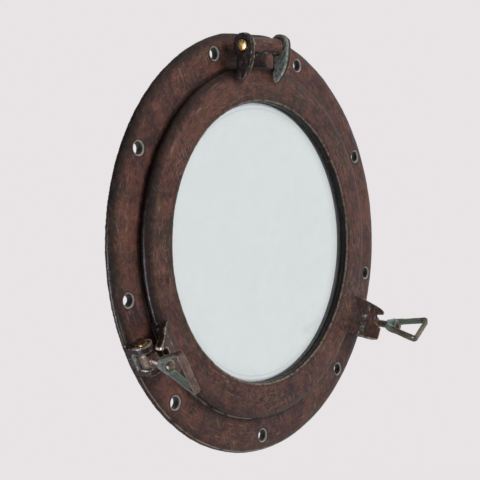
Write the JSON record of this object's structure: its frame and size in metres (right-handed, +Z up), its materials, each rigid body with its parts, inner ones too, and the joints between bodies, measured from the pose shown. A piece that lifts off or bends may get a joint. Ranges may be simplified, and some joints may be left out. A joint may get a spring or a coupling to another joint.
{
  "type": "opening porthole",
  "caption": "Round opening porthole: a flat flange with screw holes, a top-hinged glazed window ring, and swing-bolt dogs whose wing nuts clamp slotted lugs on the ring.",
  "frame": {"origin": "centre of the flange's back plane, on the porthole's axis", "axes": "+X right and +Z up as seen from the front, with the hinge at the top; the front faces -Y, so +Y points into the wall"},
  "size_m": [0.3051, 0.0607, 0.3028],
  "materials": {
    "flange_casting": "cast, antique-brown lacquer, worn at the edges",
    "ring_casting": "cast, antique-brown lacquer, worn at the edges",
    "clear_glass": "clear, plain",
    "gasket_rubber": "matt",
    "seal_rubber": "matt",
    "retaining_ring": "blackened, matt",
    "small_screws": "plain steel",
    "washers": "plain steel, stained",
    "pin_brass": "turned, tarnished, bright at the ends",
    "bolt_brass": "brown patina",
    "wing_nut_brass": "verdigris over brown patina"
  },
  "bodies": {
    "frame": {"mounting_flange": "flange_casting", "hinge_pin": "pin_brass", "hinge_washer_left": "washers", "hinge_washer_right": "washers", "dog_pin_left": "pin_brass", "dog_pin_right": "pin_brass"},
    "window": {"window_ring": "ring_casting", "window_glass": "clear_glass", "glass_gasket": "gasket_rubber", "glass_retaining_ring": "retaining_ring", "retaining_screw_1": "small_screws", "retaining_screw_2": "small_screws", "retaining_screw_3": "small_screws", "retaining_screw_4": "small_screws", "retaining_screw_5": "small_screws", "retaining_screw_6": "small_screws", "weather_seal": "seal_rubber"},
    "dog_left": {"swing_bolt_left": "bolt_brass"},
    "nut_left": {"wing_nut_left": "wing_nut_brass"},
    "dog_right": {"swing_bolt_right": "bolt_brass"},
    "nut_right": {"wing_nut_right": "wing_nut_brass"}
  },
  "joints": [
    {"name": "window_hinge", "type": "hinge", "parent": "frame", "child": "window", "pos_m": [0, -0.018, 0.1406], "axis": [-1, 0, 0], "range_deg": [0, 110]},
    {"name": "dog_swing_left", "type": "hinge", "parent": "frame", "child": "dog_left", "pos_m": [-0.13338, -0.0135, -0.05938], "axis": [0.4067, 0, -0.9135], "range_deg": [-8, 60]},
    {"name": "nut_spin_left", "type": "hinge", "parent": "dog_left", "child": "nut_left", "pos_m": [-0.13338, -0.0135, -0.05938], "axis": [-0.2287, -0.9681, -0.1018], "continuous": true},
    {"name": "dog_swing_right", "type": "hinge", "parent": "frame", "child": "dog_right", "pos_m": [0.12313, -0.0135, -0.07845], "axis": [0.5373, 0, 0.8434], "range_deg": [-8, 60]},
    {"name": "nut_spin_right", "type": "hinge", "parent": "dog_right", "child": "nut_right", "pos_m": [0.12313, -0.0135, -0.07845], "axis": [0.2112, -0.9681, -0.1345], "continuous": true}
  ]
}
